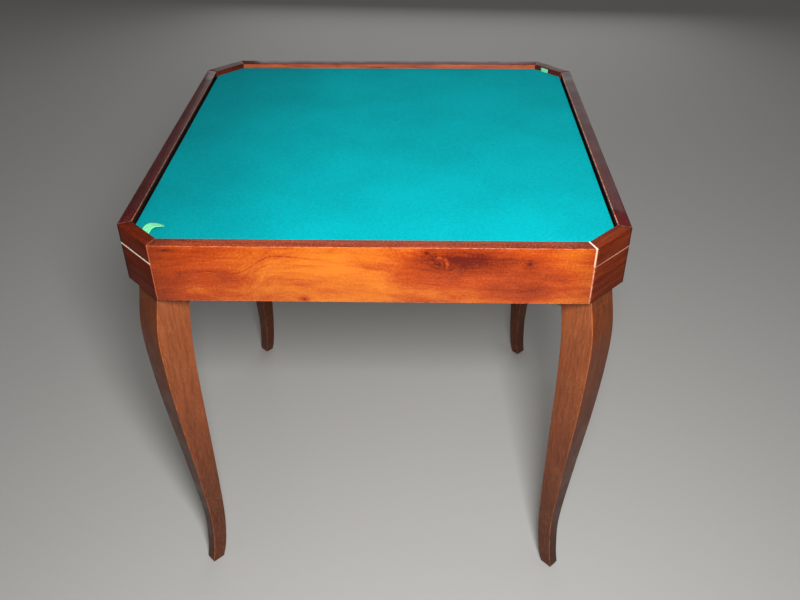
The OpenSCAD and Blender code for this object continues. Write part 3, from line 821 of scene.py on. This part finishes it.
class TABLE_OT_corners(bpy.types.Operator):
    """Makes the upper and lower pieces of the canted corners, and finishes the pale lines between them"""

    bl_idname = "table.corners"
    bl_label = "Corners"

    def execute(self, context):
        # Painted shade and light: the front left corner is a darker copy, and the front right a lighter copy,
        # of one mahogany, for light that falls more from the right.
        left = rim_wood("Shaded corner mahogany", (0.120, 0.014, 0.004), (0.050, 0.005, 0.002), polish=(0.02, 0.02))
        right = rim_wood("Lit corner mahogany", (0.165, 0.023, 0.006), (0.075, 0.010, 0.003), polish=(0.02, 0.02))
        back = rim_wood("Back mahogany", (0.090, 0.012, 0.008), (0.035, 0.005, 0.004), polish=(0.11, 0.14))
        finishes = {"front_left": left, "front_right": right}
        for index, (corner, angle) in enumerate(CORNERS.items()):
            finish = finishes.get(corner, back)
            for part in ("cap", "panel"):
                node = f"corner_{part}_{corner}"
                low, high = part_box(node)[0][2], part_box(node)[1][2]
                edge_r, gap = 0.0007, 0.0002
                points, faces, caps, grain, to_end = mitred_bar(CORNER_HALF, low, high, CORNER_R, RAIL_T,
                                                                edge_r, gap)
                grain = grain + [0.6 * index, 0.3, 0.11 if part == "cap" else 0.0]
                piece = new_piece(f"{node}_finished", points @ turn(angle), faces, "frame",
                                  [finish], grain, to_end, caps=caps)
                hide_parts(node)
        points, faces, caps = mitre_slip([(FRAME_Z, CAP_Z, wood().slip_low_w), (CAP_Z, RIM_Z, wood().slip_w)])
        slip = new_piece("mitre_slip_finished", points @ turn(SIDES["front"]), faces, "frame",
                         [slip_wood()], caps=caps)
        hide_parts("mitre_line_front_right")
        coat_nodes(inlay_wood(), "corner_lines")
        return {"FINISHED"}


# A leg's stations from the top: share of its length, inset of its outer face from the canted corner's
# face, depth and width, in metres.
LEG_STATIONS = np.array([
    [0.00, 0.0080, 0.0590, 0.0550],
    [0.11, -0.0050, 0.0590, 0.0550],
    [0.23, -0.0050, 0.0550, 0.0540],
    [0.40, 0.0025, 0.0490, 0.0480],
    [0.61, 0.0160, 0.0390, 0.0375],
    [0.83, 0.0270, 0.0295, 0.0255],
    [0.94, 0.0220, 0.0280, 0.0220],
    [1.00, 0.0155, 0.0250, 0.0210],
])
# Length of the flat that is planed on a leg's inner face at its top.
PLANED_H = 0.0495


def leg_measures(share):
    """Inset, depth and width at each share of a leg's length, on cubic curves through the stations.

    A curve's slope at a station is that of the chord between its neighbours.
    """
    at, values = LEG_STATIONS[:, 0], LEG_STATIONS[:, 1:]
    before, after = np.maximum(np.arange(len(at)) - 1, 0), np.minimum(np.arange(len(at)) + 1, len(at) - 1)
    slopes = (values[after] - values[before]) / (at[after] - at[before])[:, None]
    i = np.clip(np.searchsorted(at, share, side="right") - 1, 0, len(at) - 2)
    step = at[i + 1] - at[i]
    u = ((share - at[i]) / step)[:, None]
    step = step[:, None]
    return (values[i] * (2 * u**3 - 3 * u**2 + 1) + values[i + 1] * (3 * u**2 - 2 * u**3)
            + step * slopes[i] * (u**3 - 2 * u**2 + u) + step * slopes[i + 1] * (u**3 - u**2))


def leg_surface(radius, flat_x):
    """A leg on the +X axis: a rounded rectangle carried down the leg, with its top planed flat at flat_x.

    Row by row from the foot up, the rectangle has the depth and width of that height. The foot and the top
    are closed by smaller rings, so their edges are eased. The last array is 2 on the outer face, 1 on the
    others and less on the rounded edges.
    """
    share = np.linspace(1.0, 0.0, 90)
    inset, depth, width = leg_measures(share).T
    height = LEG_TOP * (1 - share)
    outer = CORNER_R - inset
    inner = outer - depth
    inner = np.where(height > LEG_TOP - PLANED_H, np.maximum(inner, flat_x), inner)
    foot_ease, top_ease = 0.0018, 0.0005
    rings, grain = [], []
    around = np.tile([1.0, 0.6, 0.1, 0.1, 0.6, 1.0], 4)
    around[[0, -1]] = 2.0
    rows = ([(height[0], 0, foot_ease), (height[0] + top_ease, 0, top_ease),
             (height[0] + 2 * foot_ease, 0, 0.0)]
            + [(height[k], k, 0.0) for k in range(2, len(share) - 1)]
            + [(height[-1] - top_ease, -1, 0.0), (height[-1], -1, top_ease)])
    for z, k, shrink in rows:
        d, w = outer[k] - inner[k] - 2 * shrink, width[k] - 2 * shrink
        section = rounded_outline(d, w, min(radius, d / 3), len(around) // 4) + [(outer[k] + inner[k]) / 2, 0]
        rings.append(np.column_stack([section, np.full(len(section), z)]))
        grain.append(np.column_stack([np.full(len(section), z), section[:, 0] - CORNER_R, section[:, 1]]))
    size = (len(rings), len(around))
    caps = [cap[::-1] for cap in end_faces(*size)]
    return (np.concatenate(rings), grid_faces(*size)[:, ::-1], caps, np.concatenate(grain),
            np.tile(around, len(rings)))


class TABLE_OT_legs(bpy.types.Operator):
    """Makes the four curved legs with rounded edges"""

    bl_idname = "table.legs"
    bl_label = "Legs"

    def execute(self, context):
        flat_x = reach("leg_plate_front_left", 225)
        points, faces, caps, grain, mark = leg_surface(wood().leg_edge_r, flat_x)
        stained = leg_wood()
        for index, (corner, angle) in enumerate(CORNERS.items()):
            leg = f"leg_{corner}"
            piece = new_piece(f"{leg}_finished", points @ turn(angle), faces, leg,
                              [stained], grain + [0, 0.37 * index, 0.11 * index], mark, caps=caps)
            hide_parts(leg)
        return {"FINISHED"}


def cut_square(half, cut_r, steps):
    """Outline of a square with cut corners, anticlockwise, each side in the same number of steps."""
    short = cut_r * math.sqrt(2) - half
    corners = np.array([[half, -short], [half, short], [short, half], [-short, half],
                        [-half, short], [-half, -short], [-short, -half], [short, -half]])
    share = np.linspace(0, 1, steps, endpoint=False)[:, None]
    return np.concatenate([a + (b - a) * share for a, b in zip(corners, np.roll(corners, -1, axis=0))])


class TABLE_OT_board(bpy.types.Operator):
    """Makes the baize, which turns down round the edge of its board"""

    bl_idname = "table.board"
    bl_label = "Board and baize"

    def execute(self, context):
        outline = cut_square(BOARD_HALF, BOARD_R, 24)
        radius, ripple = cloth().baize_round, 0.00008
        bend = np.linspace(math.pi / 2, 0, 5)
        # Rings from the middle outwards on top, round the edge, and back under to the middle.
        flats = [(share, 0.0, BAIZE_TOP) for share in np.linspace(0.04, 0.97, 24)]
        edge = [(1.0, radius * (1 - math.cos(a)), BAIZE_TOP - radius * (1 - math.sin(a))) for a in bend]
        under = [(1.0, 0.0, BAIZE_LOW), (0.5, 0.0, BAIZE_LOW), (0.04, 0.0, BAIZE_LOW)]
        rings = []
        for share, inset, z in flats + edge + under:
            scale = share * (1 - inset / BOARD_HALF)
            wave = ripple * np.sin(outline[:, 0] * 31 * share) * np.cos(outline[:, 1] * 27 * share)
            lift = np.minimum(wave, 0) if z == BAIZE_TOP else 0 * wave
            rings.append(np.column_stack([outline * scale, z + lift]))
        size = (len(rings), len(outline))
        piece = new_piece("baize_cloth", np.concatenate(rings), grid_faces(*size), "board",
                          [baize_cloth()], caps=end_faces(*size))
        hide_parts("baize")
        hardboard = plain_wood("Hardboard", (0.11, 0.052, 0.028), (0.07, 0.032, 0.017), (0, 0, 0))
        coat_nodes(hardboard, "board_core")
        return {"FINISHED"}


def ribbon_strip(path, across, width, steps):
    """A flat strip: at each point of the path, points are spread along the across direction there."""
    spread = np.linspace(-0.5, 0.5, steps)
    points = path[:, None, :] + across[:, None, :] * (spread[None, :, None] * width[:, None, None])
    run = np.concatenate([[0], np.cumsum(np.linalg.norm(np.diff(path, axis=0), axis=1))])
    uv = np.stack(np.broadcast_arrays(spread[None, :] * width[:, None], run[:, None]), axis=-1)
    return points.reshape(-1, 3), uv.reshape(-1, 2), float(run[-1])


def smooth_path(knots, count):
    """A curve through given points: a cubic between each two, with slopes from their neighbours."""
    knots = np.asarray(knots, float)
    t = np.linspace(0, len(knots) - 1, count)
    i = np.clip(t.astype(int), 0, len(knots) - 2)
    u = (t - i)[:, None]
    before, after = np.maximum(i - 1, 0), np.minimum(i + 2, len(knots) - 1)
    a, b = knots[i], knots[i + 1]
    ma, mb = (b - knots[before]) / 2, (knots[after] - a) / 2
    return (a * (2 * u**3 - 3 * u**2 + 1) + b * (3 * u**2 - 2 * u**3)
            + ma * (u**3 - 2 * u**2 + u) + mb * (u**3 - u**2))


def ribbon_piece(name, node, angle, material, knots, turns, widths):
    """A pull ribbon: listed points give its route, its turn about the route and its width.

    Its width lies along Y, made square to the route and then turned about it.
    """
    count, steps, thick = 70, 9, 0.0005
    path = smooth_path(knots, count)
    turn_at = np.radians(smooth_path(np.array(turns)[:, None], count)[:, 0])
    width = smooth_path(np.array(widths)[:, None], count)[:, 0]
    along = np.gradient(path, axis=0)
    along /= np.linalg.norm(along, axis=1)[:, None]
    side = np.tile([0.0, 1.0, 0.0], (count, 1))
    side -= along * (side * along).sum(1)[:, None]
    side /= np.linalg.norm(side, axis=1)[:, None]
    up = np.cross(side, along)
    across = side * np.cos(turn_at)[:, None] + up * np.sin(turn_at)[:, None]
    points, uv, run = ribbon_strip(path, across, width, steps)
    piece = new_piece(name, points @ turn(angle), grid_faces(count, steps, closed=False), "board",
                      [material])
    layer = piece.data.uv_layers.new(name="ribbon")
    corner_points = np.empty(len(piece.data.loops), int)
    piece.data.loops.foreach_get("vertex_index", corner_points)
    layer.data.foreach_set("uv", uv[corner_points].ravel())
    shell = piece.modifiers.new("Thickness", "SOLIDIFY")
    shell.thickness, shell.offset = thick, 0.0
    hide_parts(node)


class TABLE_OT_ribbons(bpy.types.Operator):
    """Makes the two pull ribbons, tacked under the board and brought up past its edge"""

    bl_idname = "table.ribbons"
    bl_label = "Pull ribbons"

    def execute(self, context):
        w, edge, top = cloth().ribbon_w, BOARD_R + 0.0007, BAIZE_TOP
        low = BOARD_LOW - 0.0006
        satin, tack_r, aside = ribbon_cloth(), BOARD_R - 0.034, 0.0070
        lying = [(tack_r, 0.0, low), (BOARD_R - 0.014, 0.0, low), (BOARD_R - 0.003, 0.0, low),
                 (edge, 0.0, low + 0.0030), (edge, 0.0, BAIZE_LOW), (edge - 0.0008, -0.0008, top + 0.0026),
                 (edge - 0.0064, -0.0040, top + 0.0058), (edge - 0.0130, -0.0050, top + 0.0068),
                 (edge - 0.0198, -0.0026, top + 0.0060), (edge - 0.0256, -0.0002, top + 0.0040),
                 (edge - 0.0296, 0.0024, top + 0.0015)]
        ribbon_piece("ribbon_front_left_cloth", "ribbon_front_left", CORNERS["front_left"], satin, lying,
                     [0, 0, 0, 0, 0, 0, 0, 2, 4, 0, -8], [w] * 8 + [w * 0.97, w * 0.74, w * 0.14])
        standing = [(tack_r, 0.0, low), (BOARD_R - 0.014, 0.0044, low), (BOARD_R - 0.003, aside, low),
                    (edge, aside, low + 0.0030), (edge, aside, BAIZE_LOW), (edge, aside, top + 0.0020),
                    (edge, aside, top + 0.0068)]
        ribbon_piece("ribbon_back_right_cloth", "ribbon_back_right", CORNERS["back_right"], satin, standing,
                     [0] * 7, [w] * 7)
        return {"FINISHED"}


class TABLE_OT_underside(bpy.types.Operator):
    """Finishes the blocks, floor panel, cleats and hinges under the table"""

    bl_idname = "table.underside"
    bl_label = "Underside and hinges"

    def execute(self, context):
        beech = plain_wood("Beech", (0.66, 0.43, 0.24), (0.45, 0.27, 0.13), (0, 0, math.radians(45)))
        coat_nodes(beech, "corner_block", "packing")
        stained = plain_wood("Stained cleats", (0.10, 0.045, 0.025), (0.06, 0.025, 0.014), (0, 0, 0))
        coat_nodes(stained, "cleat_")
        coat_nodes(plain_wood("Floor ply", (0.66, 0.46, 0.27), (0.47, 0.29, 0.15), (0, 0, 0)), "floor_panel")
        plate = plated_metal("Zinc plate", tuple(steel().plate), 0.32, 0.72)
        screw = plated_metal("Zinc screws", tuple(steel().screw), 0.24, 0.8)
        coat_nodes(plate, "hinge_bracket", "leg_plate")
        coat_nodes(screw, "hinge_bolt", "wing_nut", "leg_screws", "block_screws", "cleat_screws",
                   "bracket_screws", "ribbon_tacks")
        return {"FINISHED"}


class TABLE_OT_stage(bpy.types.Operator):
    """Makes the camera, the floor and the lights"""

    bl_idname = "table.stage"
    bl_label = "Stage"

    def execute(self, context):
        s = stage()
        data = bpy.data.cameras.new("Camera")
        data.lens, data.sensor_width, data.clip_end = s.lens, 36.0, 50.0
        camera = bpy.data.objects.new("Camera", data)
        forward = Vector((math.sin(s.yaw) * math.cos(s.pitch), math.cos(s.yaw) * math.cos(s.pitch),
                          -math.sin(s.pitch)))
        right = Vector((math.cos(s.yaw), -math.sin(s.yaw), 0))
        up = right.cross(forward)
        rolled = right * math.cos(s.roll) + up * math.sin(s.roll)
        upright = up * math.cos(s.roll) - right * math.sin(s.roll)
        facing = Matrix((rolled, upright, -forward)).transposed()
        camera.matrix_world = Matrix.Translation(s.camera_at) @ facing.to_4x4()
        context.scene.collection.objects.link(camera)
        context.scene.camera = camera

        mesh = bpy.data.meshes.new("floor")
        corners = [(-9, -9, -0.0005), (9, -9, -0.0005), (9, 9, -0.0005), (-9, 9, -0.0005)]
        mesh.from_pydata(corners, [], [(0, 1, 2, 3)])
        floor = bpy.data.objects.new("floor", mesh)
        material, t, shader = new_material("Floor", 0.85, Specular_IOR_Level=0.2)
        shader.inputs["Base Color"].default_value = rgba(s.floor)
        mesh.materials.append(material)
        context.scene.collection.objects.link(floor)

        world = bpy.data.worlds.new("Studio")
        world.use_nodes = True
        back = world.node_tree.nodes["Background"]
        back.inputs["Color"].default_value = (1.0, 0.99, 0.97, 1.0)
        back.inputs["Strength"].default_value = 0.12
        context.scene.world = world
        context.scene.view_settings.view_transform = "Standard"

        target = Vector((0.0, 0.0, RIM_Z))
        for name, place, power, size in (
                ("Key", Vector(s.camera_at) + Vector((0.12, -0.02, 0.16)), s.key, 0.32),
                ("Fill right", Vector((1.0, -0.1, 2.0)), 2.5, 0.9),
                ("Wide back", Vector((0.2, 3.0, 1.55)), 17.0, 2.6)):
            light = bpy.data.lights.new(name, "AREA")
            light.energy, light.size = power, size
            lamp = bpy.data.objects.new(name, light)
            lamp.location = place
            lamp.rotation_mode = "QUATERNION"
            lamp.rotation_quaternion = (target - place).to_track_quat("-Z", "Y")
            context.scene.collection.objects.link(lamp)
        return {"FINISHED"}


class TABLE_PT_pieces(bpy.types.Panel):
    """Lists the pieces and their settings"""

    bl_idname = "TABLE_PT_pieces"
    bl_label = "Games table"
    bl_space_type = "VIEW_3D"
    bl_region_type = "UI"
    bl_category = "Table"

    def draw(self, context):
        for operator in OPERATORS:
            self.layout.operator(operator.bl_idname)
        for group in (wood(), cloth(), steel(), stage()):
            box = self.layout.box()
            for key in group.__annotations__:
                box.prop(group, key)


OPERATORS = (TABLE_OT_stage, TABLE_OT_rails, TABLE_OT_corners, TABLE_OT_legs, TABLE_OT_board,
             TABLE_OT_ribbons, TABLE_OT_underside)
SETTINGS = {"table_wood": TableWood, "table_cloth": TableCloth, "table_steel": TableSteel,
            "table_stage": TableStage}


def register():
    for cls in (*SETTINGS.values(), *OPERATORS, TABLE_PT_pieces):
        bpy.utils.register_class(cls)
    for name, cls in SETTINGS.items():
        setattr(bpy.types.Scene, name, bpy.props.PointerProperty(type=cls))


def unregister():
    for name in SETTINGS:
        delattr(bpy.types.Scene, name)
    for cls in reversed((*SETTINGS.values(), *OPERATORS, TABLE_PT_pieces)):
        bpy.utils.unregister_class(cls)


def main():
    """Builds every piece."""
    register()
    bpy.ops.table.stage()
    bpy.ops.table.rails()
    bpy.ops.table.corners()
    bpy.ops.table.legs()
    bpy.ops.table.board()
    bpy.ops.table.ribbons()
    bpy.ops.table.underside()


if __name__ == "__main__":
    main()
